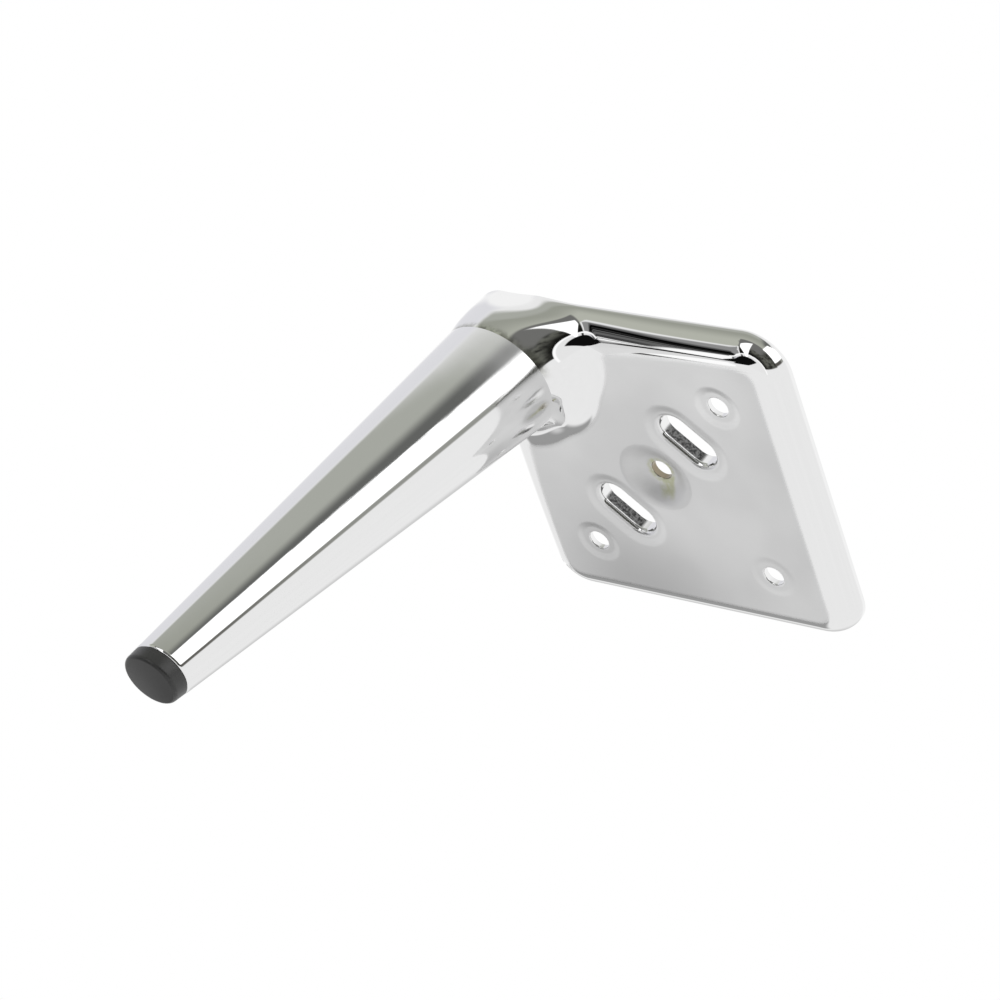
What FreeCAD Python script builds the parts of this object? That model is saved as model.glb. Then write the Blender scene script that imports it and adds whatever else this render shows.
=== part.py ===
import FreeCAD, Part
import math
import os
from FreeCAD import Vector

# Metal furniture leg: a pressed mounting plate with a hollow neck drawn out of one corner,
# a tapered tube welded to the neck, and a black cap pressed into the foot of the tube.
# The origin is the centre of the plate on the plane that meets the furniture.
# The leg points down from that plane. All sizes are in millimetres.

# mounting plate, a shallow pan pressed from sheet
plate_side = 100.0
plate_depth = 7.6
sheet = 2.0
corner_radius = 11.6
rim_rounding = 7.2

# neck drawn out of the corner at -X, -Y
neck_height = 8.8
neck_overhang = 0.5
neck_flat_angle = 24.0
root_rounding = 8.4

# tapered leg: distances of its centre line from the two plate sides, and its radii
leg_height = 150.0
leg_inset = 16.23
foot_inset = 5.3
leg_radius_at_face = 17.96
foot_radius = 8.14
tube_wall = 1.5
tube_end_rounding = 1.1

# foot cap: its visible head, and the hollow plug that holds it in the tube
cap_height = 4.3
cap_edge_rounding = 1.0
cap_dome = 0.3
plug_length = 14.0
plug_wall = 1.6
plug_clearance = 0.1
plug_lead_in = 0.6

# screw holes in the three corners away from the leg
screw_spacing = 57.6
screw_diameter = 6.0
screw_edge_break = 0.45
screw_seat_diameter = 14.0
screw_seat_floor_diameter = 8.0
screw_seat_depth = 0.3

# centre hole at the bottom of a drawn dimple
centre_hole_diameter = 6.0
centre_edge_break = 0.35
dimple_diameter = 17.0
dimple_floor_diameter = 8.4
dimple_depth = 3.0
dimple_softness = 3.2

# flanged slots, long along the diagonal that runs through the leg
slot_offset = 14.5
slot_length = 18.0
slot_width = 9.4
slot_mouth_rounding = 1.5
slot_flange_depth = 4.9
slot_flange_wall = 1.3

# levels of the main planes
face_level = -plate_depth
weld_level = face_level - neck_height
foot_level = -leg_height
tube_end_level = foot_level + cap_height


def leg_centre(level):
    """the point of the leaning centre line at one level"""
    share = (face_level - level) / (face_level - foot_level)
    inset = leg_inset + (foot_inset - leg_inset) * share
    place = inset - plate_side / 2
    return Vector(place, place, level)


def leg_taper():
    """the angle by which the leg leans, its length to the tube's end, and its loss of radius per length"""
    run = leg_centre(tube_end_level) - leg_centre(face_level)
    lean = run.getAngle(Vector(0, 0, -1))
    return lean, run.Length, (leg_radius_at_face - foot_radius) / run.Length


def leg_body(low, high, inset):
    """the leaning cone between two levels, a given distance inside the outer skin"""
    lean, length, taper = leg_taper()
    top = leg_centre(face_level)
    direction = (leg_centre(foot_level) - top).normalize()
    spare = leg_radius_at_face
    start_radius = leg_radius_at_face + taper * spare - inset
    end_radius = foot_radius - taper * spare - inset
    cone = Part.makeCone(start_radius, end_radius, length + 2 * spare, top - direction * spare, direction)
    slab_side = 4 * plate_side
    return cone.common(Part.makeBox(slab_side, slab_side, high - low,
                                    Vector(-slab_side / 2, -slab_side / 2, low)))


def level_ellipse(level, inset):
    """the leaning cone's level section, worked out from its steepest and its flattest side line"""
    lean, length, taper = leg_taper()
    reaches = []
    radii = []
    for side in (1, -1):
        radius = leg_radius_at_face - inset
        along = face_level - level + side * radius * math.sin(lean)
        along /= math.cos(lean) + side * taper * math.sin(lean)
        radius -= taper * along
        radii.append(radius)
        reaches.append(along * math.sin(lean) + side * radius * math.cos(lean))
    middle = leg_centre(face_level).x - (reaches[0] + reaches[1]) / 2 / math.sqrt(2)
    centre = Vector(middle, middle, level)
    return Part.Ellipse(centre, (reaches[0] - reaches[1]) / 2, math.sqrt(radii[0] * radii[1]))


def arc_round(centre, radius, start, end):
    """a level arc from one angle to another, in degrees"""
    angles = [math.radians(a) for a in (start, (start + end) / 2, end)]
    points = [centre + Vector(radius * math.cos(a), radius * math.sin(a), 0) for a in angles]
    return Part.Arc(*points).toShape()


def flush_section(inset):
    """the neck's level section at the mounting plane: round inside, and square with the plate outside"""
    centre = leg_centre(0)
    half = centre.x + plate_side / 2 + neck_overhang - inset
    radius = corner_radius - inset
    corner = centre + Vector(radius - half, radius - half, 0)
    outer = arc_round(corner, radius, 180, 270)
    inner = [arc_round(centre, half, a, a + 90) for a in (-90, 0, 90)]
    first = Part.makeLine(outer.Vertexes[-1].Point, inner[0].Vertexes[0].Point)
    last = Part.makeLine(inner[-1].Vertexes[-1].Point, outer.Vertexes[0].Point)
    return Part.Wire([outer, first] + inner + [last])


def round_section(level, inset):
    """the leg's own section at one level, split where the flush section is split"""
    ellipse = level_ellipse(level, inset)
    ellipse.AngleXU = math.radians(45)
    stops = (135 + neck_flat_angle, 225 - neck_flat_angle, 225, 315, 405, 495, 495 + neck_flat_angle)
    arcs = [ellipse.trim(math.radians(u), math.radians(v)) for u, v in zip(stops, stops[1:])]
    return Part.Wire([arc.toShape() for arc in arcs])


def neck(inset):
    """the drawn neck, from the mounting plane to the weld"""
    middle_level = (face_level + weld_level) / 2
    rings = [flush_section(inset)]
    rings += [round_section(z, inset) for z in (face_level, middle_level, weld_level)]
    return Part.makeLoft(rings, True, False)


def pan(inset):
    """the plate's rounded block, a given distance inside its outer skin"""
    side = plate_side - 2 * inset
    depth = plate_depth - inset
    block = Part.makeBox(side, side, depth, Vector(-side / 2, -side / 2, -depth))
    uprights = [e for e in block.Edges if e.BoundBox.ZLength > depth / 2]
    block = block.makeFillet(corner_radius - inset, uprights)
    face_edges = [e for e in block.Edges if e.BoundBox.ZMax < -depth / 2]
    return block.makeFillet(rim_rounding - inset, face_edges)


def lies_on(edge, skin):
    """whether the middle of an edge lies on a skin"""
    middle = edge.valueAt((edge.FirstParameter + edge.LastParameter) / 2)
    return Part.Vertex(middle).distToShape(skin)[0] < 1e-4


def pan_with_neck(inset, root_radius):
    """the plate and its neck as one block, with a rounding all along the root of the neck"""
    plate_block = pan(inset)
    neck_block = neck(inset)
    block = plate_block.fuse(neck_block).removeSplitter()
    root = [e for e in block.Edges if e.BoundBox.ZMin < -1e-3
            and lies_on(e, plate_block.Shells[0]) and lies_on(e, neck_block.Shells[0])]
    return block.makeFillet(root_radius, root)


def dimple_cone(x, y, level, sizes):
    """the tapering space of a round dimple that starts at one level"""
    diameter, floor_diameter, depth = sizes
    return Part.makeCone(diameter / 2, floor_diameter / 2, depth, Vector(x, y, level))


def slot_prism(x, y, length, width, low, high):
    """an upright prism with round ends, long along the diagonal through the leg"""
    radius = width / 2
    reach = length / 2 - radius
    ends = [Vector(reach, -radius, low), Vector(reach, radius, low),
            Vector(-reach, radius, low), Vector(-reach, -radius, low)]
    right = Part.Arc(ends[0], Vector(reach + radius, 0, low), ends[1]).toShape()
    left = Part.Arc(ends[2], Vector(-reach - radius, 0, low), ends[3]).toShape()
    outline = Part.Wire([right, Part.makeLine(ends[1], ends[2]), left, Part.makeLine(ends[3], ends[0])])
    prism = Part.Face(outline).extrude(Vector(0, 0, high - low))
    prism.rotate(Vector(0, 0, 0), Vector(0, 0, 1), 45)
    prism.translate(Vector(x, y, 0))
    return prism


def mouth_edges(shape, x, y, reach, level):
    """the edges of an opening at one level, all within reach of its centre"""
    chosen = []
    for edge in shape.Edges:
        box = edge.BoundBox
        on_level = abs(box.ZMin - level) < 1e-3 and abs(box.ZMax - level) < 1e-3
        width = max(box.XMax - x, x - box.XMin, box.YMax - y, y - box.YMin)
        if on_level and width < reach + 1e-2:
            chosen.append(edge)
    return chosen


def with_hole(plate, x, y, level, diameter, edge_break):
    """the plate with a round hole whose sharp edge is broken where it meets one level"""
    plate = plate.cut(Part.makeCylinder(diameter / 2, plate_depth, Vector(x, y, face_level)))
    return plate.makeChamfer(edge_break, mouth_edges(plate, x, y, diameter / 2, level))


def with_screw_hole(plate, x, y):
    """the plate with one corner screw hole in its shallow seat"""
    sizes = (screw_seat_diameter, screw_seat_floor_diameter, screw_seat_depth)
    plate = plate.cut(dimple_cone(x, y, face_level, sizes))
    return with_hole(plate, x, y, face_level + screw_seat_depth, screw_diameter, screw_edge_break)


def with_centre_hole(plate):
    """the plate with the soft deep dimple of the centre hole, which shows as a boss inside the pan"""
    sizes = (dimple_diameter, dimple_floor_diameter, dimple_depth)
    floor_level = face_level + dimple_depth
    plate = plate.fuse(dimple_cone(0, 0, face_level + sheet, sizes))
    plate = plate.cut(dimple_cone(0, 0, face_level, sizes))
    bends = mouth_edges(plate, 0, 0, dimple_diameter / 2, face_level)
    bends += mouth_edges(plate, 0, 0, dimple_floor_diameter / 2, floor_level)
    plate = plate.makeFillet(dimple_softness, bends)
    return with_hole(plate, 0, 0, floor_level, centre_hole_diameter, centre_edge_break)


def with_slot(plate, x, y):
    """the plate with one slot and the flange drawn back round it"""
    high = face_level + slot_flange_depth
    flange_length = slot_length + 2 * slot_flange_wall
    flange_width = slot_width + 2 * slot_flange_wall
    plate = plate.fuse(slot_prism(x, y, flange_length, flange_width, face_level + sheet / 2, high))
    plate = plate.cut(slot_prism(x, y, slot_length, slot_width, face_level, 0))
    return plate.makeFillet(slot_mouth_rounding, mouth_edges(plate, x, y, slot_length / 2, face_level))


def mounting_plate():
    """the pressed plate: outer skin less inner skin, then its holes"""
    plate = pan_with_neck(0, root_rounding).cut(pan_with_neck(sheet, root_rounding + sheet))
    screw_place = screw_spacing / 2
    for x, y in ((screw_place, -screw_place), (screw_place, screw_place), (-screw_place, screw_place)):
        plate = with_screw_hole(plate, x, y)
    plate = with_centre_hole(plate)
    for side in (1, -1):
        plate = with_slot(plate, side * slot_offset, -side * slot_offset)
    return plate


def leg_tube():
    """the tapered tube, cut level at both ends, with the edge at its foot rounded in"""
    outside = leg_body(tube_end_level, weld_level, 0)
    end_edges = [e for e in outside.Edges if abs(e.BoundBox.ZMax - tube_end_level) < 1e-3]
    outside = outside.makeFillet(tube_end_rounding, end_edges)
    return outside.cut(leg_body(tube_end_level, weld_level, tube_wall))


def dome_ball():
    """the large ball whose underside is the cap's low dome"""
    ball_radius = (foot_radius ** 2 + cap_dome ** 2) / (2 * cap_dome)
    return Part.makeSphere(ball_radius, leg_centre(foot_level) + Vector(0, 0, ball_radius))


def foot_cap():
    """the cap: a low domed head level with the tube, and a hollow plug inside the tube"""
    head = leg_body(foot_level, tube_end_level, 0).common(dome_ball())
    foot_edges = [e for e in head.Edges if e.BoundBox.ZMax < foot_level + 2 * cap_dome]
    head = head.makeFillet(cap_edge_rounding, foot_edges)
    plug_top = tube_end_level + plug_length
    plug = leg_body(tube_end_level, plug_top, tube_wall + plug_clearance)
    lead_edges = [e for e in plug.Edges if abs(e.BoundBox.ZMin - plug_top) < 1e-3]
    plug = plug.makeChamfer(plug_lead_in, lead_edges)
    hollow = leg_body(tube_end_level, plug_top, tube_wall + plug_clearance + plug_wall)
    return head.fuse(plug.cut(hollow))


PIECES = {"mounting_plate": mounting_plate, "leg_tube": leg_tube, "foot_cap": foot_cap}


def main():
    os.makedirs("parts", exist_ok=True)
    for name, make in PIECES.items():
        shape = make().removeSplitter()
        solid = shape.Solids[0] if len(shape.Solids) == 1 else shape
        solid.exportStep(os.path.join("parts", name + ".step"))
        print(name, solid.ShapeType, solid.isValid(), round(solid.Volume, 1), solid.BoundBox)


main()
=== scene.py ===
import math

import bpy
import numpy as np
from mathutils import Matrix, Vector
from mathutils.geometry import delaunay_2d_cdt


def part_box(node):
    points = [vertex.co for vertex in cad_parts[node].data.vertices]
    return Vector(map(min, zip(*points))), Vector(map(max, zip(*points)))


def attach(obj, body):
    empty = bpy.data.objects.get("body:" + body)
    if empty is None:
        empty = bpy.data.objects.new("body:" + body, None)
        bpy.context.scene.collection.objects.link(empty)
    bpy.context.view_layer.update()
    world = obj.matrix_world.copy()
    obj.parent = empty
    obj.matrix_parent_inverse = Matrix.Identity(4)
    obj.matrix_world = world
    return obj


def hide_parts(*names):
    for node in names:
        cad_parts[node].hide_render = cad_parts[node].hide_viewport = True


# A chrome furniture leg: a pressed plate with a neck drawn out of one corner, a tapered tube
# welded to the neck, and a black cap in its foot. Shapes are worked out in millimetres in the
# frame's own axes, and become metres when a mesh is made.

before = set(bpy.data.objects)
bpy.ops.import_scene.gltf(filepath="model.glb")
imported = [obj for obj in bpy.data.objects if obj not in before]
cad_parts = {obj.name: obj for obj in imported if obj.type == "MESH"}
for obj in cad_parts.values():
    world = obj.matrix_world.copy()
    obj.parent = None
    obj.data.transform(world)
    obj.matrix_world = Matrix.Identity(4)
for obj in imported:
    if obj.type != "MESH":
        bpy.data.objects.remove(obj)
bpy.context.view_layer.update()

MM = 0.001

# levels and sides, read from the frame
plate_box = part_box("mounting_plate")
tube_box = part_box("leg_tube")
cap_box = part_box("foot_cap")
PLATE_HALF = plate_box[1][0] / MM
WELD_LEVEL = plate_box[0][2] / MM
TUBE_END = tube_box[0][2] / MM
FOOT_LEVEL = cap_box[0][2] / MM

# pressed plate
FACE_LEVEL = -7.6
SHEET = 2.0
CORNER_RADIUS = 11.6
RIM_HEIGHT = 7.2
RIM_WIDTH = 7.7
RIM_SPREAD = 4.5
RIM_SPREAD_REACH = 22.0

# neck and leaning leg
LEG_INSET = 16.23
FOOT_INSET = 5.3
LEG_RADIUS = 17.96
FOOT_RADIUS = 8.14
TUBE_WALL = 1.5
TUBE_END_ROUNDING = 1.1
NECK_OVERHANG = 0.5
NECK_FLARE = 0.23
NECK_SOFTNESS = 1.0
ROOT_ROUNDING = 8.4
ROOT_VALLEY = 20.0
ROOT_VALLEY_FROM = math.radians(20)
ROOT_VALLEY_TO = math.radians(80)
ROOT_LEAST = 0.8

# where the weld was ground flush, beside the side that faces the plate's middle: an angle and a height; its dull
# blotches are partly a painted dark reflection of the room
GROUND_FROM = math.radians(50)
GROUND_TO = math.radians(70)
GROUND_HEIGHT = 2.5

# openings in the plate; a round hole's sizes are the radii of its seat, the seat's floor and the hole, and its edge
SCREW_PLACE = 28.8
SCREW_SIZES = (7.2, 4.6, 3.0, 0.45)
SCREW_SEAT_DEPTH = 0.35
FAR_SEAT_DEPTH = 0.08
CENTRE_SIZES = (10.9, 3.6, 3.0, 0.35)
DIMPLE_DEPTH = 3.0
SEAT_MARGIN = 0.3
SLOT_PLACE = 14.5
SLOT_HALF_WIDTH = 4.7
SLOT_SPINE = 4.3
SLOT_FLANGE_LEVEL = -2.7
SLOT_FLANGE_WALL = 1.3
SLOT_MOUTH_ROUNDING = 1.5
SLOT_DRAWN_WIDTH = 3.2
SLOT_DRAWN_DEPTH = 0.35
RAW_STEP = 0.3
RAW_PAST_SPINE = 2.5
RAW_FADE = 1.0

# foot cap
CAP_BEVEL = 1.0
CAP_DOME = 0.3
CAP_INSET = 0.12
CAP_FACE_INSET = 0.3
PLUG_GAP = 0.1
PLUG_WALL = 1.6
PLUG_LENGTH = 14.0

# how satin the plate is: the normal's downward part where the satin starts and where it is full
PLATE_SATIN = (0.982, 0.9996)
OPENING_SATIN = (0.45, 0.85)
DIMPLE_SOFTER = 1.7

# how finely the skins are divided
RAYS = 420
NECK_ROWS = 40
RIM_ROWS = 36
RING_STEPS = 96
SLOT_ROWS = 14
SEAT_ROWS = 26
EDGE_ROWS = 8
LEG_STEPS = 256
TUBE_ROWS = 40
TUBE_END_ROWS = 14
BORE_ROWS = 12
CAP_SIDE_ROWS = 8
CAP_BEVEL_ROWS = 12
DOME_ROWS = 16

# how the plate's skin is traced
TRACE_STEP = 0.25
TRACE_TOP = 0.5
TRACE_SLOPE_STEP = 0.01
NORMAL_STEP = 0.02
WELD_SEARCH = 6.0
HALVINGS = 40
EDGE_SEARCH_START = 10.0
EDGE_SEARCH_STEPS = 60
FINE_ANGLES = 7201
FACE_HAIR = 2e-4
LEAST_FLAT = 0.05
MERGE_STEP = 1e-4
FILL_STEP = 1e-7
TINY = 1e-9
LEAST_SIZE = 1e-12


def smooth_step(t):
    """rises from 0 to 1 with level ends: 3t^2 - 2t^3, with t held between 0 and 1"""
    t = np.clip(t, 0, 1)
    return t * t * (3 - 2 * t)


def leg_line():
    """the leg's centre line: its start at the face, its unit direction, and its loss of radius per length"""
    start = np.array([LEG_INSET - PLATE_HALF, LEG_INSET - PLATE_HALF, FACE_LEVEL])
    foot = np.array([FOOT_INSET - PLATE_HALF, FOOT_INSET - PLATE_HALF, FOOT_LEVEL])
    direction = (foot - start) / np.linalg.norm(foot - start)
    length = (TUBE_END - FACE_LEVEL) / direction[2]
    return start, direction, (LEG_RADIUS - FOOT_RADIUS) / length


def leg_middle(z):
    """x, and equally y, of the centre line at height z"""
    start, direction, _ = leg_line()
    return start[0] + direction[0] * (z - start[2]) / direction[2]


def leg_point(angle, level, inset):
    """The point of the leaning cone, a given inset inside its skin, at an angle round its line and on a level.

    A cone point is start + s * direction + (R - taper * s - inset) * (cos(angle) * u + sin(angle) * v).
    Its height is a linear equation in s, which is solved for the level.
    """
    start, direction, taper = leg_line()
    u = np.cross(direction, [0, 1, 0])
    u /= np.linalg.norm(u)
    v = np.cross(direction, u)
    ring = np.cos(angle)[..., None] * u + np.sin(angle)[..., None] * v
    rise = ring[..., 2]
    radius = LEG_RADIUS - inset
    along = (level - start[2] - radius * rise) / (direction[2] - taper * rise)
    return start + along[..., None] * direction + (radius - taper * along)[..., None] * ring


def leg_gap(x, y, z):
    """distance outside the leaning cone: off-line distance less the radius there, times the cosine of the taper"""
    start, direction, taper = leg_line()
    p = np.stack([x - start[0], y - start[1], z - start[2]], axis=-1)
    along = p @ direction
    off_line = np.linalg.norm(p - along[..., None] * direction, axis=-1)
    return (off_line - LEG_RADIUS + taper * along) / math.hypot(1, taper)


def plan_gap(x, y):
    """signed distance outside the plate's rounded square, seen from above"""
    qx = np.abs(x) - (PLATE_HALF - CORNER_RADIUS)
    qy = np.abs(y) - (PLATE_HALF - CORNER_RADIUS)
    return np.hypot(np.maximum(qx, 0), np.maximum(qy, 0)) + np.minimum(np.maximum(qx, qy), 0) - CORNER_RADIUS


def turn_from_diagonal(x, y, z):
    """the angle round the leg from the side that faces the plate's middle, the same to left and right"""
    middle = leg_middle(z)
    ox = x - middle
    oy = y - middle
    return np.arccos(np.clip((ox + oy) / (np.hypot(ox, oy) * math.sqrt(2) + TINY), -1, 1))


def neck_gap(x, y, z):
    """distance outside the neck: the leg's cone, held softly to a wall that closes on the plate's sides at the top"""
    a = leg_gap(x, y, z)
    b = plan_gap(x, y) - NECK_OVERHANG + NECK_FLARE * z
    h = np.maximum(NECK_SOFTNESS - np.abs(a - b), 0) / NECK_SOFTNESS
    return np.maximum(a, b) + h * h * NECK_SOFTNESS / 4


def plate_parts(x, y, z):
    """distances outside the pan and the neck, and the rounding between them

    The rim is a quarter ellipse, wider near the neck. The root's rounding grows in the valleys between neck and
    rim, and shrinks where rim and neck face the same way.
    """
    neck = neck_gap(x, y, z)
    width = RIM_WIDTH + RIM_SPREAD * np.exp(-(np.maximum(neck, 0) / RIM_SPREAD_REACH) ** 2)
    inward = -plan_gap(x, y)
    across = np.maximum(width - inward, 0) / width
    down = np.maximum(FACE_LEVEL + RIM_HEIGHT - z, 0) / RIM_HEIGHT
    length = np.hypot(across, down)
    pan = (length - 1) * RIM_HEIGHT
    middle = leg_middle(z)
    ox = x - middle
    oy = y - middle
    off_line = np.hypot(ox, oy) + TINY
    sx = np.maximum(np.abs(x) - (PLATE_HALF - CORNER_RADIUS), 0) * np.sign(x)
    sy = np.maximum(np.abs(y) - (PLATE_HALF - CORNER_RADIUS), 0) * np.sign(y)
    side = np.hypot(sx, sy) + TINY
    agree = across / (length + TINY) * np.maximum((ox * sx + oy * sy) / (off_line * side), 0)
    turn = turn_from_diagonal(x, y, z)
    valley = smooth_step((turn - ROOT_VALLEY_FROM) / (ROOT_VALLEY_TO - ROOT_VALLEY_FROM))
    root = ROOT_ROUNDING + (ROOT_VALLEY - ROOT_ROUNDING) * valley
    root = ROOT_LEAST + (root - ROOT_LEAST) * (1 - agree)
    # a root higher than the neck starts leaning at the weld, where it stays flush with the tube
    rest = np.maximum(root + WELD_LEVEL - FACE_LEVEL, 0)
    return pan, neck + root - np.sqrt(np.maximum(root * root - rest * rest, 0)), root


def plate_field(x, y, z):
    """the pan and the neck joined with a round root: k - |(k - a, k - b)|, which is min(a, b) away from the root"""
    pan, neck, root = plate_parts(x, y, z)
    near = np.hypot(np.maximum(root - pan, 0), np.maximum(root - neck, 0))
    return np.maximum(root, np.minimum(pan, neck)) - near


def field_normal(points):
    """the unit gradient of the plate's field, by central differences"""
    gradient = []
    for axis in np.eye(3) * NORMAL_STEP:
        high = plate_field(*np.moveaxis(points + axis, -1, 0))
        low = plate_field(*np.moveaxis(points - axis, -1, 0))
        gradient.append(high - low)
    gradient = np.stack(gradient, axis=-1)
    return gradient / np.linalg.norm(gradient, axis=-1, keepdims=True)


def ray_angles():
    """angles round the neck, shared between even turning and even spacing along the plate's edge"""
    fine = np.linspace(0, 2 * np.pi, FINE_ANGLES)
    middle = leg_middle(WELD_LEVEL)
    reach = np.full_like(fine, EDGE_SEARCH_START)
    for _ in range(EDGE_SEARCH_STEPS):
        gap = plan_gap(middle + reach * np.cos(fine), middle + reach * np.sin(fine))
        reach -= gap
    edge = np.stack([reach * np.cos(fine), reach * np.sin(fine)], axis=-1)
    run = np.concatenate([[0], np.cumsum(np.linalg.norm(np.diff(edge, axis=0), axis=1))])
    share = (fine / fine[-1] + run / run[-1]) / 2
    return np.interp(np.arange(RAYS) / RAYS, share, fine)


def trace_rays():
    """The plate's skin along each ray from the neck: distances s and heights z, in even steps from the weld.

    In a ray's upright plane the field is f(s, z). A step goes along the contour f = 0, square to the gradient,
    and Newton's rule brings it back onto the contour.
    """
    angle = ray_angles()
    middle = leg_middle(WELD_LEVEL)
    cos, sin = np.cos(angle), np.sin(angle)

    def value(s, z):
        return plate_field(middle + s * cos, middle + s * sin, z)

    def slope(s, z):
        d = TRACE_SLOPE_STEP
        return (value(s + d, z) - value(s - d, z)) / (2 * d), (value(s, z + d) - value(s, z - d)) / (2 * d)

    def settle(s, z):
        fs, fz = slope(s, z)
        push = value(s, z) / (fs * fs + fz * fz)
        return s - push * fs, z - push * fz

    low = np.full(RAYS, LEG_RADIUS - WELD_SEARCH)
    high = np.full(RAYS, LEG_RADIUS + WELD_SEARCH)
    level = np.full(RAYS, WELD_LEVEL)
    for _ in range(HALVINGS):
        half = (low + high) / 2
        outside = value(half, level) > 0
        high = np.where(outside, half, high)
        low = np.where(outside, low, half)
    s, z = (low + high) / 2, level
    track_s, track_z = [s], [z]
    longest = 4 * PLATE_HALF
    for _ in range(int(longest / TRACE_STEP)):
        fs, fz = slope(s, z)
        size = np.hypot(fs, fz)
        going = z < TRACE_TOP
        s = np.where(going, s - TRACE_STEP * fz / size, s)
        z = np.where(going, z + TRACE_STEP * fs / size, z)
        new_s, new_z = settle(s, z)
        s = np.where(going, new_s, s)
        z = np.where(going, new_z, z)
        track_s.append(s)
        track_z.append(z)
        if not going.any():
            break
    return angle, np.array(track_s), np.array(track_z)


def first_crossing(values, level):
    """the fractional row at which each column of values first rises past a level"""
    row = np.argmax(values > level, axis=0)
    row = np.maximum(row, 1)
    column = np.arange(values.shape[1])
    before, after = values[row - 1, column], values[row, column]
    return row - 1 + (level - before) / (after - before)


def along_track(track, rows):
    """values between the rows of a track, for an array of fractional rows per column"""
    row = np.clip(np.floor(rows).astype(int), 0, track.shape[0] - 2)
    part = rows - row
    column = np.broadcast_to(np.arange(track.shape[1]), rows.shape)
    return track[row, column] * (1 - part) + track[row + 1, column] * part


def plate_grids():
    """Two grids of skin points over the rays: from the weld to the flat face, and from the flat face to the top.

    Where a ray crosses no flat face, both grids share the row where the ray passes the face's level.
    """
    angle, track_s, track_z = trace_rays()
    start = first_crossing(track_z, FACE_LEVEL - FACE_HAIR)
    end = first_crossing(track_z, FACE_LEVEL + FACE_HAIR)
    top = first_crossing(track_z, 0.0)
    middle = leg_middle(WELD_LEVEL)
    grids = []
    for first, last, count in ((np.zeros(RAYS), start, NECK_ROWS), (end, top, RIM_ROWS)):
        share = np.linspace(0, 1, count + 1)[:, None]
        rows = first + (last - first) * share
        s = along_track(track_s, rows)
        z = along_track(track_z, rows)
        grids.append(np.stack([middle + s * np.cos(angle), middle + s * np.sin(angle), z], axis=-1))
    neck_grid, rim_grid = grids
    flat = (end - start) * TRACE_STEP > LEAST_FLAT
    neck_grid[0, :, 2] = WELD_LEVEL
    neck_grid[-1, flat, 2] = FACE_LEVEL
    rim_grid[0, flat, 2] = FACE_LEVEL
    rim_grid[0, ~flat] = neck_grid[-1, ~flat]
    rim_grid[-1, :, 2] = 0
    return neck_grid, rim_grid, flat


class Skin:
    """Collects patches of one closed mesh, each corner with its own normal, and merges the points they share."""

    def __init__(self):
        self.points = []
        self.normals = []
        self.finish = []
        self.corners = []
        self.count = 0

    def triangles(self, points, normals, corners, satin=0, raw=0, ground=0):
        self.points.append(points)
        self.normals.append(normals)
        self.finish.append(np.stack(np.broadcast_arrays(satin, raw, ground, points[:, 0])[:3], axis=-1))
        self.corners.append(corners + self.count)
        self.count += len(points)

    def grid(self, points, normals=None, closed=True, outward=None, satin=None, softer=1, raw=0, ground=0):
        """a two-parameter grid of points; closed grids join their last column to their first

        Without given normals they are the cross product of the grid's two slopes. The faces turn to agree.
        Satin is the pair of slopes, as the normal's downward part, between which the skin turns satin, and softer makes
        that satin rougher. Raw and ground say where the skin is bare or dull, and also where painted shade and a
        painted reflection are laid.
        """
        rows, columns = points.shape[:2]
        if normals is None:
            normals = grid_normals(points, closed)
            if outward is not None and (normals * outward).sum() < 0:
                normals = -normals
        index = np.arange(rows * columns).reshape(rows, columns)
        if closed:
            index = np.concatenate([index, index[:, :1]], axis=1)
        a, b = index[:-1, :-1].ravel(), index[:-1, 1:].ravel()
        c, d = index[1:, 1:].ravel(), index[1:, :-1].ravel()
        corners = np.concatenate([np.stack([a, b, c], 1), np.stack([a, c, d], 1)])
        flat_points = points.reshape(-1, 3)
        flat_normals = normals.reshape(-1, 3)
        p = flat_points[corners]
        face = np.cross(p[:, 1] - p[:, 0], p[:, 2] - p[:, 0])
        if (face * flat_normals[corners].sum(axis=1)).sum() < 0:
            corners = corners[:, ::-1]
        shade = 0
        if satin:
            shade = smooth_step((-flat_normals[:, 2] - satin[0]) / (satin[1] - satin[0])) * softer
        self.triangles(flat_points, flat_normals, corners, shade, np.ravel(raw), np.ravel(ground))

    def mesh(self, name):
        points = np.concatenate(self.points)
        normals = np.concatenate(self.normals)
        corners = np.concatenate(self.corners)
        keys = np.round(points / MERGE_STEP).astype(np.int64)
        _, first, merged = np.unique(keys, axis=0, return_index=True, return_inverse=True)
        merged = merged.reshape(-1)
        faces = merged[corners]
        whole = (faces[:, 0] != faces[:, 1]) & (faces[:, 1] != faces[:, 2]) & (faces[:, 2] != faces[:, 0])
        faces = faces[whole]
        corner_normals = normals[corners[whole]].reshape(-1, 3)
        mesh = bpy.data.meshes.new(name)
        mesh.from_pydata(points[first] * MM, [], faces)
        mesh.polygons.foreach_set("use_smooth", np.ones(len(faces), dtype=bool))
        mesh.normals_split_custom_set(corner_normals)
        finish = mesh.attributes.new("finish", "FLOAT_VECTOR", "CORNER")
        finish.data.foreach_set("vector", np.concatenate(self.finish)[corners[whole]].ravel())
        mesh.update()
        return mesh


def grid_normals(points, closed):
    """unit normals of a grid: the cross product of its slopes along rows and columns"""
    if closed:
        padded = np.concatenate([points[:, -1:], points, points[:, :1]], axis=1)
        across = (padded[:, 2:] - padded[:, :-2]) / 2
    else:
        across = np.gradient(points, axis=1)
    along = np.gradient(points, axis=0)
    normals = np.cross(across, along)
    size = np.linalg.norm(normals, axis=-1, keepdims=True)
    normals = normals / np.maximum(size, LEAST_SIZE)
    lost = size[..., 0] < TINY
    for row in np.nonzero(lost.all(axis=1))[0]:
        neighbour = row - 1 if row else row + 1
        mean = normals[neighbour].mean(axis=0)
        normals[row] = mean / np.linalg.norm(mean)
    return normals


def quarter(count):
    """angles of a quarter turn in even steps"""
    return np.linspace(0, np.pi / 2, count)


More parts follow.
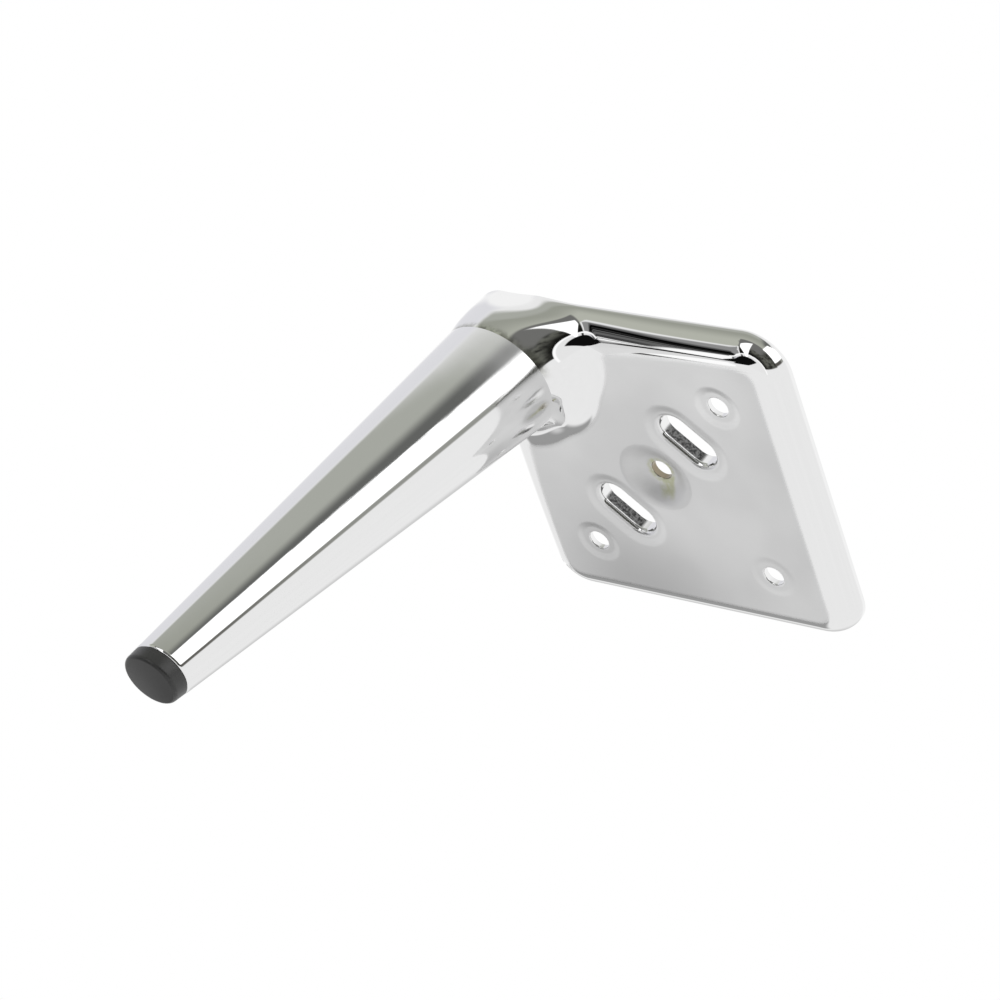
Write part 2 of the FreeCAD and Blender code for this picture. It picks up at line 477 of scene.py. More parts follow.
def swell(first, last, rise, count):
    """a soft step between two distances: height rises by 'rise' as (1 - cos) / 2"""
    share = np.linspace(0, 1, count)
    return np.stack([first + (last - first) * share, rise * (1 - np.cos(np.pi * share)) / 2], axis=-1)


def ring_grid(centre, spine, profile):
    """A profile of (distance, height) rows carried round an opening with round ends.

    The outline turns through every angle. Its centre slides from one end of the spine to the other, and the
    spine lies along the diagonal through the leg.
    """
    turn = np.linspace(-np.pi / 2, 3 * np.pi / 2, RING_STEPS + 1)[:-1]
    if spine:
        half = RING_STEPS // 2
        turn = np.concatenate([np.linspace(-np.pi / 2, np.pi / 2, half), np.linspace(np.pi / 2, 3 * np.pi / 2, half)])
    slide = spine * np.where(np.arange(RING_STEPS) < RING_STEPS // 2, 1, -1)
    lean = math.pi / 4
    distance = profile[:, 0][:, None]
    along = slide + distance * np.cos(turn)
    across = distance * np.sin(turn)
    x = centre[0] + along * math.cos(lean) - across * math.sin(lean)
    y = centre[1] + along * math.sin(lean) + across * math.cos(lean)
    return np.stack([x, y, np.broadcast_to(profile[:, 1][:, None], x.shape)], axis=-1)


def opening_sections(kind, depth):
    """the smooth stretches of an opening's profile, from the plate's face round the edge to the plate's back"""
    back = FACE_LEVEL + SHEET
    if kind == "slot":
        wall = SLOT_HALF_WIDTH
        outer = wall + SLOT_FLANGE_WALL
        mouth_start = wall + SLOT_MOUTH_ROUNDING
        drawn_start = mouth_start + SLOT_DRAWN_WIDTH
        mouth_level = FACE_LEVEL + SLOT_DRAWN_DEPTH
        wall_level = mouth_level + SLOT_MOUTH_ROUNDING
        drawn = swell(drawn_start, mouth_start, SLOT_DRAWN_DEPTH, SLOT_ROWS) + [0, FACE_LEVEL]
        mouth = edge_round(wall, mouth_level, SLOT_MOUTH_ROUNDING, SLOT_ROWS)
        deep = np.linspace((wall, wall_level), (wall, SLOT_FLANGE_LEVEL), SLOT_ROWS)
        front = np.concatenate([drawn[:-1], mouth, deep[1:]])
        end = np.array([[wall, SLOT_FLANGE_LEVEL], [outer, SLOT_FLANGE_LEVEL]])
        side = np.array([[outer, SLOT_FLANGE_LEVEL], [outer, back]])
        rear = np.array([[outer, back], [drawn_start, back]])
        return [front, end, side, rear]
    rim, floor, hole, edge = SCREW_SIZES if kind == "screw" else CENTRE_SIZES
    dip = swell(rim, floor, depth, SEAT_ROWS)
    lip = edge_round(hole, FACE_LEVEL + depth, edge, EDGE_ROWS)
    outside = rim + SEAT_MARGIN
    # the dimple of the centre hole shows as a boss on the back
    boss = (dip + [0, back])[::-1] if kind == "centre" else np.empty((0, 2))
    bottom = back + depth if kind == "centre" else back
    front = np.concatenate([[[outside, FACE_LEVEL]], dip + [0, FACE_LEVEL], lip, [[hole, bottom]]])
    rear = np.concatenate([[[hole, bottom]], boss, [[outside, back]]])
    return [front, rear]


def edge_round(wall, level, radius, count):
    """rows of a quarter round that turns from a level face into an opening's wall"""
    bend = quarter(count)
    return np.stack([wall + radius * (1 - np.sin(bend)), level + radius * (1 - np.cos(bend))], axis=-1)


# each opening: its kind, its centre, half the length of its spine, and the depth of its seat
OPENINGS = [
    ("screw", (SCREW_PLACE, -SCREW_PLACE), 0, SCREW_SEAT_DEPTH),
    ("screw", (SCREW_PLACE, SCREW_PLACE), 0, FAR_SEAT_DEPTH),
    ("screw", (-SCREW_PLACE, SCREW_PLACE), 0, SCREW_SEAT_DEPTH),
    ("centre", (0, 0), 0, DIMPLE_DEPTH),
    ("slot", (SLOT_PLACE, -SLOT_PLACE), SLOT_SPINE, 0),
    ("slot", (-SLOT_PLACE, SLOT_PLACE), SLOT_SPINE, 0),
]


def flat_fill(outline, holes, level):
    """triangles that fill a flat outline round its holes, by constrained Delaunay triangulation"""
    loops = [outline] + holes
    points = np.concatenate(loops)
    edges = []
    first = 0
    for loop in loops:
        edges += [(first + i, first + (i + 1) % len(loop)) for i in range(len(loop))]
        first += len(loop)
    found = delaunay_2d_cdt([Vector(p) for p in points], edges, [], 0, FILL_STEP)
    flat = np.array([tuple(v) for v in found[0]])
    corners = np.array(found[2])
    centre = flat[corners].mean(axis=1)
    inside = inside_loop(centre, outline)
    for hole in holes:
        inside &= ~inside_loop(centre, hole)
    corners = corners[inside]
    return np.column_stack([flat, np.full(len(flat), level)]), corners


def inside_loop(points, loop):
    """whether points lie inside a closed outline: the sum of crossings of a ray along +X is odd"""
    a = loop[None, :, :]
    b = np.roll(loop, -1, axis=0)[None, :, :]
    x, y = points[:, :1], points[:, 1:2]
    spans = (a[..., 1] > y) != (b[..., 1] > y)
    rise = np.where(spans, b[..., 1] - a[..., 1], 1)
    crossing = a[..., 0] + (y - a[..., 1]) / rise * (b[..., 0] - a[..., 0])
    return (spans & (x < crossing)).sum(axis=1) % 2 == 1


def make_plate():
    """The pressed plate with its neck: the outer skin, the same skin one sheet further in, and its openings."""
    skin = Skin()
    neck_grid, rim_grid, flat = plate_grids()
    inner = {}
    for name, grid, sharp_row, level in (("neck", neck_grid, 0, WELD_LEVEL), ("rim", rim_grid, -1, 0.0)):
        normals = field_normal(grid)
        flat_row = -1 if name == "neck" else 0
        normals[flat_row, flat] = (0, 0, -1)
        ground = ground_flush(grid) if name == "neck" else 0
        skin.grid(grid, normals, satin=PLATE_SATIN, ground=ground)
        back = grid - SHEET * normals
        back[sharp_row, :, 2] = level
        back[flat_row, flat, 2] = FACE_LEVEL + SHEET
        back = back[::2]
        skin.grid(back, -normals[::2])
        inner[name] = back
        edge = np.stack([grid[sharp_row], back[0 if sharp_row == 0 else -1]])
        skin.grid(edge, level_facing(edge, -1 if sharp_row == 0 else 1))
    holes = []
    for kind, centre, spine, depth in OPENINGS:
        for number, section in enumerate(opening_sections(kind, depth)):
            ring = ring_grid(centre, spine, section)
            if number == 0:
                holes.append(ring[0, :, :2])
            facing = opening_facing(kind, number, ring, centre)
            raw = slot_wall(ring, centre) if kind == "slot" and number == 0 else 0
            softer = DIMPLE_SOFTER if kind == "centre" else 1
            skin.grid(ring, outward=facing, satin=OPENING_SATIN, softer=softer, raw=raw)
    order = np.nonzero(flat)[0]
    jump = np.nonzero(np.diff(order) > 1)[0]
    if len(jump):
        order = np.concatenate([order[jump[0] + 1:], order[:jump[0] + 1]])
    first, last = (order[0] - 1) % RAYS, (order[-1] + 1) % RAYS
    outline = np.concatenate([neck_grid[-1, [first]], neck_grid[-1, order], neck_grid[-1, [last]],
                              rim_grid[0, order[::-1]]])[:, :2]
    for level, facing in ((FACE_LEVEL, -1), (FACE_LEVEL + SHEET, 1)):
        points, corners = flat_fill(outline, holes, level)
        p = points[corners]
        turned = np.cross(p[:, 1] - p[:, 0], p[:, 2] - p[:, 0])[:, 2] * facing < 0
        corners[turned] = corners[turned][:, ::-1]
        skin.triangles(points, level_facing(points, facing), corners, satin=1)
    return skin.mesh("plate_and_neck")


def ground_flush(points):
    """how dull the skin is where the weld was ground flush: 1 at the weld, less above it and towards the middle; the
    same mask lays a painted dark reflection there
    """
    x, y, z = np.moveaxis(points, -1, 0)
    beside = smooth_step((turn_from_diagonal(x, y, z) - GROUND_FROM) / (GROUND_TO - GROUND_FROM))
    return beside * smooth_step((WELD_LEVEL + GROUND_HEIGHT - z) / GROUND_HEIGHT)


def slot_wall(ring, centre):
    """how raw an opening's wall is: 1 on a slot's straight sides below the plated mouth, where the bare steel is also
    painted dark as shade
    """
    mouth_end = FACE_LEVEL + SLOT_MOUTH_ROUNDING
    deep = smooth_step((ring[..., 2] - mouth_end) / RAW_STEP - 1)
    along = np.abs(ring[..., 0] - centre[0] + ring[..., 1] - centre[1]) / math.sqrt(2)
    return deep * smooth_step((SLOT_SPINE + RAW_PAST_SPINE - along) / RAW_FADE)


def opening_facing(kind, number, ring, centre):
    """a rough outward direction for one stretch of an opening's skin"""
    if kind == "slot" and number == 2:
        return (ring - [*centre, 0]) * [1, 1, 0]
    return level_facing(ring, -1 if number == 0 else 1)


def leg_grid(rows):
    """a grid round the leaning leg from rows of (level, inset)"""
    rows = np.asarray(rows, dtype=float)
    angle = np.linspace(0, 2 * np.pi, LEG_STEPS + 1)[:-1]
    level = np.broadcast_to(rows[:, :1], (len(rows), len(angle)))
    inset = np.broadcast_to(rows[:, 1:], level.shape)
    return leg_point(np.broadcast_to(angle, level.shape), level, inset)


def rounded(level, inset, radius, count):
    """rows of a quarter round that turns from the leg's skin to a level end, below a level"""
    bend = quarter(count)
    return np.stack([level - radius * np.sin(bend), inset + radius * (1 - np.cos(bend))], axis=-1)


def away_from_line(points, sign=1):
    """directions away from the leg's centre line"""
    middle = leg_middle(points[..., 2])
    return sign * np.stack([points[..., 0] - middle, points[..., 1] - middle, np.zeros_like(middle)], axis=-1)


def level_facing(points, z):
    """straight up or down"""
    facing = np.zeros_like(points)
    facing[..., 2] = z
    return facing


def make_tube():
    """the tapered tube: its outer skin with the foot's edge turned in, its bore, and its level ends"""
    skin = Skin()
    edge = TUBE_END + TUBE_END_ROUNDING
    outer = leg_grid(np.concatenate([np.linspace((WELD_LEVEL, 0), (edge, 0), TUBE_ROWS)[:-1],
                                     rounded(edge, 0, TUBE_END_ROUNDING, TUBE_END_ROWS)]))
    skin.grid(outer, outward=away_from_line(outer))
    end = leg_grid([(TUBE_END, TUBE_END_ROUNDING), (TUBE_END, TUBE_WALL)])
    skin.grid(end, outward=level_facing(end, -1))
    bore = leg_grid(np.linspace((TUBE_END, TUBE_WALL), (WELD_LEVEL, TUBE_WALL), BORE_ROWS))
    skin.grid(bore, outward=away_from_line(bore, -1))
    top = leg_grid([(WELD_LEVEL, TUBE_WALL), (WELD_LEVEL, 0)])
    skin.grid(top, outward=level_facing(top, 1))
    return skin.mesh("tapered_tube")


def make_cap():
    """the foot cap: a bevelled head with a low dome, and a hollow plug that stands inside the tube"""
    skin = Skin()
    plug = TUBE_WALL + PLUG_GAP
    bevel_top = FOOT_LEVEL + CAP_DOME + CAP_BEVEL
    shoulder = leg_grid([(TUBE_END, plug), (TUBE_END, CAP_INSET)])
    skin.grid(shoulder, outward=level_facing(shoulder, 1))
    side = leg_grid(np.concatenate([np.linspace((TUBE_END, CAP_INSET), (bevel_top, CAP_INSET), CAP_SIDE_ROWS)[:-1],
                                    rounded(bevel_top, CAP_INSET, CAP_BEVEL, CAP_BEVEL_ROWS)]))
    skin.grid(side, outward=away_from_line(side))
    share = np.linspace(0, 1, DOME_ROWS)
    face_radius = FOOT_RADIUS - CAP_FACE_INSET
    inset = CAP_INSET + CAP_BEVEL + (face_radius - CAP_BEVEL) * share
    dome = leg_grid(np.stack([FOOT_LEVEL + CAP_DOME * (1 - share) ** 2, inset], axis=-1))
    dome[-1] = (FOOT_INSET - PLATE_HALF, FOOT_INSET - PLATE_HALF, FOOT_LEVEL)
    skin.grid(dome, outward=level_facing(dome, -1))
    top = TUBE_END + PLUG_LENGTH
    wall = leg_grid([(TUBE_END, plug), (top, plug)])
    skin.grid(wall, outward=away_from_line(wall))
    lip = leg_grid([(top, plug), (top, plug + PLUG_WALL)])
    skin.grid(lip, outward=level_facing(lip, 1))
    hollow = leg_grid([(top, plug + PLUG_WALL), (TUBE_END, plug + PLUG_WALL)])
    skin.grid(hollow, outward=away_from_line(hollow, -1))
    floor = leg_grid([(TUBE_END, plug + PLUG_WALL), (TUBE_END, FOOT_RADIUS)])
    floor[-1] = (leg_middle(TUBE_END), leg_middle(TUBE_END), TUBE_END)
    skin.grid(floor, outward=level_facing(floor, 1))
    return skin.mesh("foot_cap_skin")


def place(mesh, node, slot, material):
    """makes a mesh an object that stands for a node and rides on the part"""
    piece = bpy.data.objects.new(mesh.name, mesh)
    bpy.context.scene.collection.objects.link(piece)
    mesh.materials.append(material)
    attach(piece, "root")
    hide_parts(node)
    return piece


class Signal:
    """A value that changes over a surface or a sky: a socket whose operators add Math nodes."""

    def __init__(self, graph, socket):
        self.graph = graph
        self.socket = socket

    def __add__(self, other):
        return self.graph.math("ADD", self, other)

    def __radd__(self, other):
        return self.graph.math("ADD", other, self)

    def __sub__(self, other):
        return self.graph.math("SUBTRACT", self, other)

    def __rsub__(self, other):
        return self.graph.math("SUBTRACT", other, self)

    def __mul__(self, other):
        return self.graph.math("MULTIPLY", self, other)

    def __rmul__(self, other):
        return self.graph.math("MULTIPLY", other, self)

    def __abs__(self):
        return self.graph.math("ABSOLUTE", self)

    def at_least(self, value):
        return self.graph.math("MAXIMUM", self, value)

    def at_most(self, value):
        return self.graph.math("MINIMUM", self, value)

    def rising(self, start, end):
        """0 up to start and 1 from end on, with a smooth step between"""
        inputs = {"Value": self, "From Min": start, "From Max": end}
        return self.graph.node("ShaderNodeMapRange", {"interpolation_type": "SMOOTHSTEP"}, inputs)

    def falling(self, start, end):
        """1 up to start and 0 from end on"""
        return 1 - self.rising(start, end)

    def between(self, start, end, softness):
        """1 between two values, with soft edges outside them"""
        return self.rising(start - softness, start) * self.falling(end, end + softness)


class Graph:
    """A node tree, with one method that adds any node."""

    def __init__(self, tree):
        self.tree = tree
        tree.nodes.clear()

    def node(self, kind, settings=None, inputs=None, output=0):
        """adds a node of a kind: first its settings, then the values or links of its sockets"""
        node = self.tree.nodes.new(kind)
        for name, value in (settings or {}).items():
            setattr(node, name, value)
        for name, value in (inputs or {}).items():
            if isinstance(value, Signal):
                self.tree.links.new(value.socket, node.inputs[name])
            else:
                node.inputs[name].default_value = value
        return Signal(self, node.outputs[output]) if node.outputs else None

    def math(self, operation, *values):
        return self.node("ShaderNodeMath", {"operation": operation}, dict(enumerate(values)))

    def dot(self, vector, axis):
        """the part of a vector along an axis"""
        return self.node("ShaderNodeVectorMath", {"operation": "DOT_PRODUCT"}, {0: vector, 1: tuple(axis)}, "Value")

    def distance(self, vector, place):
        """distance from a place"""
        return self.node("ShaderNodeVectorMath", {"operation": "DISTANCE"}, {0: vector, 1: place}, "Value")

    def parts(self, vector):
        """the three parts of a vector"""
        return [self.node("ShaderNodeSeparateXYZ", None, {"Vector": vector}, axis) for axis in "XYZ"]

    def layer(self, under, color, mask):
        """a colour laid over another where the mask is 1"""
        inputs = {"Factor": mask, 6: under, 7: color}
        return self.node("ShaderNodeMix", {"data_type": "RGBA"}, inputs, 2)

    def noise(self, vector, scale, detail, roughness=0.5):
        inputs = {"Vector": vector, "Scale": scale, "Detail": detail, "Roughness": roughness}
        return self.node("ShaderNodeTexNoise", None, inputs)

    def patches(self, vector, pattern):
        """soft patches of noise: 1 inside them and 0 between them"""
        scale, detail, roughness, start, full = pattern
        return self.noise(vector, scale, detail, roughness).rising(start, full)

    def place_on(self):
        """where a point lies on the object, in metres"""
        return self.node("ShaderNodeTexCoord", None, None, "Object")

    def surface(self, shader):
        self.node("ShaderNodeOutputMaterial", None, {"Surface": shader})

    def principled(self, inputs):
        self.surface(self.node("ShaderNodeBsdfPrincipled", None, inputs))


def grey(level):
    """a neutral colour"""
    return (level, level, level, 1)


# plating: how much it mirrors, and how rough it is
CHROME = 0.86
TUBE_ROUGH = 0.035
TUBE_SMEARED = 0.05
TUBE_DULLED = 0.09
TUBE_DULL_LEVELS = (-0.045, -0.018)
PLATE_ROUGH = 0.02
PLATE_SMEARED = 0.03
SATIN_ROUGH = 0.28
SATIN_GRAIN = 0.1
RAW_ROUGH = 0.45
GROUND_ROUGH = 0.12
WAVE_SCALE = 90
WAVE_STRENGTH = 0.05
WAVE_HEIGHT = 0.0004
BRUSHED = (300, 2600, 300)

# patches of noise: scale, detail and roughness, and the levels where a patch starts and is full
SMEARS = (60, 4, 0.6, 0.5, 0.8)
FACE_CLOUDS = (28, 2, 0.5, 0.35, 0.65)
STEEL_SPECKLE = (1400, 4, 0.7, 0.4, 0.6)
WELD_BLOTCHES = (420, 3, 0.6, 0.35, 0.65)
STAIN_PATCHES = (500, 4, 0.6, 0.25, 0.6)
ROOM_CLOUDS = (3.5, 4, 0.6, 0.35, 0.62)
BAR_STREAKS = (1.0, 3, 0.7, 0.42, 0.58)

# plain noise: scale, detail and roughness
BRUSHING = (1.0, 3, 0.6)
WALL_CLOUDS = (6, 4, 0.6)
TEARS = (1.0, 4, 0.6)

CLOUD_COLOR = grey(0.77)
# bare steel of the slots' walls, painted near black as shade in the slots' hollow
RAW_STEEL_AND_SHADE_COLORS = (grey(0.055), grey(0.24))
# colours of the ground weld, partly real dull steel and partly a painted dark olive reflection of the room
GROUND_WELD_AND_REFLECTION_COLORS = ((0.35, 0.35, 0.32, 1), (0.85, 0.86, 0.80, 1))

# painted shade on the satin face: two greyer places that stand in for darker reflections, their middles, and how far
# they reach, in metres
SIDE_PAINTED_SHADE_PLACE = (-0.018, 0.048, FACE_LEVEL * MM)
SIDE_PAINTED_SHADE_REACH = (0.006, 0.042)
SIDE_PAINTED_SHADE = 0.8
SIDE_PAINTED_SHADE_COLOR = grey(0.52)
MIDDLE_PAINTED_SHADE_PLACE = (0.004, -0.018, FACE_LEVEL * MM)
MIDDLE_PAINTED_SHADE_REACH = (0.004, 0.022)
MIDDLE_PAINTED_SHADE = 0.6
MIDDLE_PAINTED_SHADE_COLOR = grey(0.76)

# the stain round the centre hole and its run to one side, in metres
STAIN_REACH = (0.0036, 0.0048)
STAIN_FRONT = (-0.0040, -0.0034)
STAIN_COLOR = (0.66, 0.67, 0.50, 1)
RUN_MIDDLE = 0.0009
RUN_WIDTH = (0.0012, 0.0032)
RUN_START = (0.001, 0.003)
RUN_END = (0.006, 0.009)
BORE_REACH = (0.0031, 0.0033)
BORE_LEVELS = (-0.0046, -0.0042)
BORE_COLOR = (0.30, 0.26, 0.19, 1)

# black plastic
PLASTIC_COLORS = (grey(0.030), (0.045, 0.045, 0.044, 1))
PLASTIC_GRAIN_SCALE = 2500
PLASTIC_CLOUD_SCALE = 300
PLASTIC_ROUGH = 0.28
PLASTIC_GRAIN = 0.12
PLASTIC_BUMP = 0.15
PLASTIC_BUMP_HEIGHT = 0.00005


def new_material(name):
    material = bpy.data.materials.new(name)
    material.use_nodes = True
    return material, Graph(material.node_tree)


def polished_chrome():
    """Bright plating: nearly a mirror, with faint cloudy smears, soft waviness, and duller near the weld."""
    material, graph = new_material("polished_chrome")
    place_on = graph.place_on()
    waves = graph.noise(place_on, WAVE_SCALE, 1)
    bump = graph.node("ShaderNodeBump", None, {"Strength": WAVE_STRENGTH, "Distance": WAVE_HEIGHT, "Height": waves})
    height = graph.parts(place_on)[2]
    rough = TUBE_ROUGH + graph.patches(place_on, SMEARS) * TUBE_SMEARED + height.rising(*TUBE_DULL_LEVELS) * TUBE_DULLED
    graph.principled({"Base Color": grey(CHROME), "Metallic": 1.0, "Roughness": rough, "Normal": bump})
    return material


def plating_with_painted_shade(graph, place_on, flat):
    """the plating's colour: soft grey clouds on the satin face, and two wide greyer places of painted shade, which
    stand in for darker reflections
    """
    # painted shade: two greyer places on the satin face, laid in place of the room's darker reflections
    side_painted_shade = graph.distance(place_on, SIDE_PAINTED_SHADE_PLACE).falling(*SIDE_PAINTED_SHADE_REACH)
    middle_painted_shade = graph.distance(place_on, MIDDLE_PAINTED_SHADE_PLACE).falling(*MIDDLE_PAINTED_SHADE_REACH)
    color = graph.layer(grey(CHROME), CLOUD_COLOR, graph.patches(place_on, FACE_CLOUDS) * flat)
    color = graph.layer(color, SIDE_PAINTED_SHADE_COLOR, side_painted_shade * flat * SIDE_PAINTED_SHADE)
    return graph.layer(color, MIDDLE_PAINTED_SHADE_COLOR, middle_painted_shade * flat * MIDDLE_PAINTED_SHADE)


def stained(graph, place_on, color):
    """a yellowish stain round the centre hole, which runs to one side, and brown inside the hole"""
    x, y, z = graph.parts(place_on)
    from_centre = graph.math("SQRT", x * x + y * y)
    ring = from_centre.falling(*STAIN_REACH)
    run = abs(x - RUN_MIDDLE).falling(*RUN_WIDTH) * y.rising(*RUN_START) * y.falling(*RUN_END)
    stain = (ring + run).at_most(1.0) * graph.patches(place_on, STAIN_PATCHES) * z.falling(*STAIN_FRONT)
    color = graph.layer(color, STAIN_COLOR, stain)
    return graph.layer(color, BORE_COLOR, from_centre.falling(*BORE_REACH) * z.rising(*BORE_LEVELS))


def plate_chrome():
    """The plate's plating: a mirror on the rim and neck, satin on the face with painted shade, bare steel in the slots
    painted dark as shade, dull at the weld with a painted dark reflection.

    The mesh's own attribute says how satin, how raw and how ground the skin is.
    """
    material, graph = new_material("plate_chrome")
    place_on = graph.place_on()
    finish = graph.node("ShaderNodeAttribute", {"attribute_name": "finish"}, None, "Vector")
    satin, raw, ground = graph.parts(finish)
    brushed = graph.node("ShaderNodeMapping", None, {"Vector": place_on, "Scale": BRUSHED})
    grain = graph.noise(brushed, *BRUSHING)
    rough = PLATE_ROUGH + graph.patches(place_on, SMEARS) * PLATE_SMEARED + satin * (SATIN_ROUGH + grain * SATIN_GRAIN)
    rough = rough + raw * RAW_ROUGH + ground * GROUND_ROUGH
    color = plating_with_painted_shade(graph, place_on, satin.at_most(1.0))
    # painted shade: the slots' bare steel walls are darkened as if in the hollow's shadow
    steel = graph.layer(*RAW_STEEL_AND_SHADE_COLORS, graph.patches(place_on, STEEL_SPECKLE))
    color = graph.layer(color, steel, raw)
    # painted reflection: the ground weld is darkened and tinted olive where the neck would mirror the dark room
    weld = graph.layer(*GROUND_WELD_AND_REFLECTION_COLORS, graph.patches(place_on, WELD_BLOTCHES))
    color = stained(graph, place_on, graph.layer(color, weld, ground))
    graph.principled({"Base Color": color, "Metallic": 1.0, "Roughness": rough})
    return material


def satin_black():
    """Black moulded plastic with a fine grain and a soft sheen."""
    material, graph = new_material("satin_black")
    place_on = graph.place_on()
    grain = graph.noise(place_on, PLASTIC_GRAIN_SCALE, 2)
    clouds = graph.noise(place_on, PLASTIC_CLOUD_SCALE, 3)
    bump = graph.node("ShaderNodeBump", None,
                      {"Strength": PLASTIC_BUMP, "Distance": PLASTIC_BUMP_HEIGHT, "Height": grain})
    shade = graph.layer(*PLASTIC_COLORS, clouds)
    graph.principled({"Base Color": shade, "Roughness": PLASTIC_ROUGH + grain * PLASTIC_GRAIN, "Normal": bump})
    return material


# camera, fitted to the photograph's outline
CAMERA_PLACE = Vector((0.50101, -0.52558, -0.51801))
CAMERA_RIGHT = Vector((0.78426, 0.29636, 0.54508))
CAMERA_DOWN = Vector((0.15656, 0.75558, -0.63607))
CAMERA_LENS = 120.85
CAMERA_SENSOR = 36
CAMERA_NEAR = 0.01


def make_camera():
    camera = bpy.data.cameras.new("camera")
    camera.lens = CAMERA_LENS
    camera.sensor_width = CAMERA_SENSOR
    camera.clip_start = CAMERA_NEAR
    right = CAMERA_RIGHT.normalized()
    back = right.cross(-CAMERA_DOWN).normalized()
    up = back.cross(right)
    turned = Matrix((right, up, back)).transposed().to_4x4()
    holder = bpy.data.objects.new("camera", camera)
    holder.matrix_world = Matrix.Translation(CAMERA_PLACE) @ turned
    bpy.context.scene.collection.objects.link(holder)
    bpy.context.scene.camera = holder


FLOOR_HALF = 3.0
FLOOR_SHADE = 0.86


def make_floor():
    """a pale floor under the foot, seen only from above"""
    sides = (-FLOOR_HALF, FLOOR_HALF)
    corners = [(x, y, FOOT_LEVEL * MM) for y in sides for x in sides]
    mesh = bpy.data.meshes.new("floor")
    mesh.from_pydata(corners, [], [(0, 1, 3, 2)])
    floor = bpy.data.objects.new("floor", mesh)
    bpy.context.scene.collection.objects.link(floor)
    material, graph = new_material("pale_floor")
    from_below = graph.node("ShaderNodeNewGeometry", None, None, "Backfacing")
    pale = graph.node("ShaderNodeBsdfDiffuse", None, {"Color": grey(FLOOR_SHADE)})
    clear = graph.node("ShaderNodeBsdfTransparent")
    graph.surface(graph.node("ShaderNodeMixShader", None, {0: from_below, 1: pale, 2: clear}))
    mesh.materials.append(material)
    floor.visible_glossy = False


def linear(level):
    """linear light of a display level from 0 to 255"""
    share = level / 255
    return share / 12.92 if share <= 0.04045 else ((share + 0.055) / 1.055) ** 2.4


def seen(red, green=None, blue=None, gain=1.0):
    """the studio colour that chrome shows as a display colour"""
    levels = (red, green or red, blue or red)
    return tuple(linear(level) * gain / CHROME for level in levels) + (1,)


# shades of the studio's parts, as the display levels that the chrome shows
PALE_WALLS = (seen(228), seen(234))
LEFT_WALL = seen(198)
RIGHT_WALL = seen(217, 217, 221)
FAR_WALL = seen(246)
GREY_WALL = seen(150, 152, 143)
GREY_WALL_LOW = seen(176, 178, 168)
GREY_WALL_HIGH = seen(165, 167, 160)
GREY_WALL_SHADED = seen(97, 98, 96)
ROOM = seen(38, 38, 36)
ROOM_OLIVE = seen(100, 101, 94)
ROOM_DEEP = seen(20, 20, 18)
ROOM_SIDE = seen(108, 108, 106)
LIGHT_BELOW = seen(228)
LOW_WALL = seen(150)
GAP = seen(84, 82, 78)
GAP_HIGH = seen(146, 147, 142)
SIDE_PANEL = seen(255, gain=1.25)
BAR = seen(18)
BAR_STREAK = seen(98)
BAR_EDGE = seen(138)
BAR_LINE = seen(4)
WHITE_STRIP = seen(252)
DARK_LINE = seen(60)
BLACK = seen(14)
FRONT_PANEL = seen(255, gain=1.3)
UPPER_ROOM = seen(240)

# where the parts lie, in degrees: a patch is a range of turns and a range of openings, each with its softness
GREY_WALL_PATCH = (0, 89, 10), (60, 116, 4)
LOW_WALL_PATCH = (-172, -158, 6), (60, 86, 4)
GAP_PATCH = (-39, -34, 4), (84, 119, 3)
STRIP_PATCH = (142, 172, 2), (30, 38.5, 2)
ROOM_TURNS = (-41, 70, 4)
ROOM_SIDE_OPENINGS = (62, 86, 6)
LIGHT_BELOW_TURNS = (-60, 60, 6)
PANEL_TURNS = (40, 66, 3)
BAR_TURNS = (78, 139, 3)
RING_TURNS = (-60, 142, 4)
LINE_TURNS = (163, 174, 3)
LINE_OPENING = 40.4
BLACK_TURNS = (-8, 152, 4)
UPPER_ROOM_START = (121, 127)


class Studio:
    """The room that the chrome mirrors: parts laid over one another, each a colour and a mask of directions.

    A direction has a turn round the leg, 0 towards the camera, and an opening from the way the leg points, both
    in degrees.
    """

    def __init__(self, graph):
        self.graph = graph
        self.way = graph.node("ShaderNodeTexCoord", None, None, "Generated")
        along = leg_line()[1]
        towards = np.array(CAMERA_PLACE) / np.linalg.norm(CAMERA_PLACE)
        towards -= (towards @ along) * along
        towards /= np.linalg.norm(towards)
        part_across = graph.dot(self.way, np.cross(along, towards))
        degrees = 180 / math.pi
        self.turn = graph.math("ARCTAN2", part_across, graph.dot(self.way, towards)) * degrees
        self.opening = graph.math("ARCCOSINE", graph.dot(self.way, along)) * degrees
        self.color = graph.layer(*PALE_WALLS, graph.noise(self.way, *WALL_CLOUDS))

    def lay(self, color, mask):
        self.color = self.graph.layer(self.color, color, mask)

    def patch(self, turns, openings):
        """1 inside a range of turns and a range of openings"""
        return self.turn.between(*turns) * self.opening.between(*openings)


def lay_pale_walls(studio):
    """the far walls, greyer or paler beside the leg's outline"""
    left, right_start, right_end, far, upper = (-162, -132), (88, 103), (140, 166), (146, 168), (90, 105)
    above = studio.opening.rising(*upper)
    studio.lay(LEFT_WALL, studio.turn.falling(*left) * above)
    studio.lay(RIGHT_WALL, studio.turn.rising(*right_start) * studio.turn.falling(*right_end))
    studio.lay(FAR_WALL, studio.turn.rising(*far) * above)


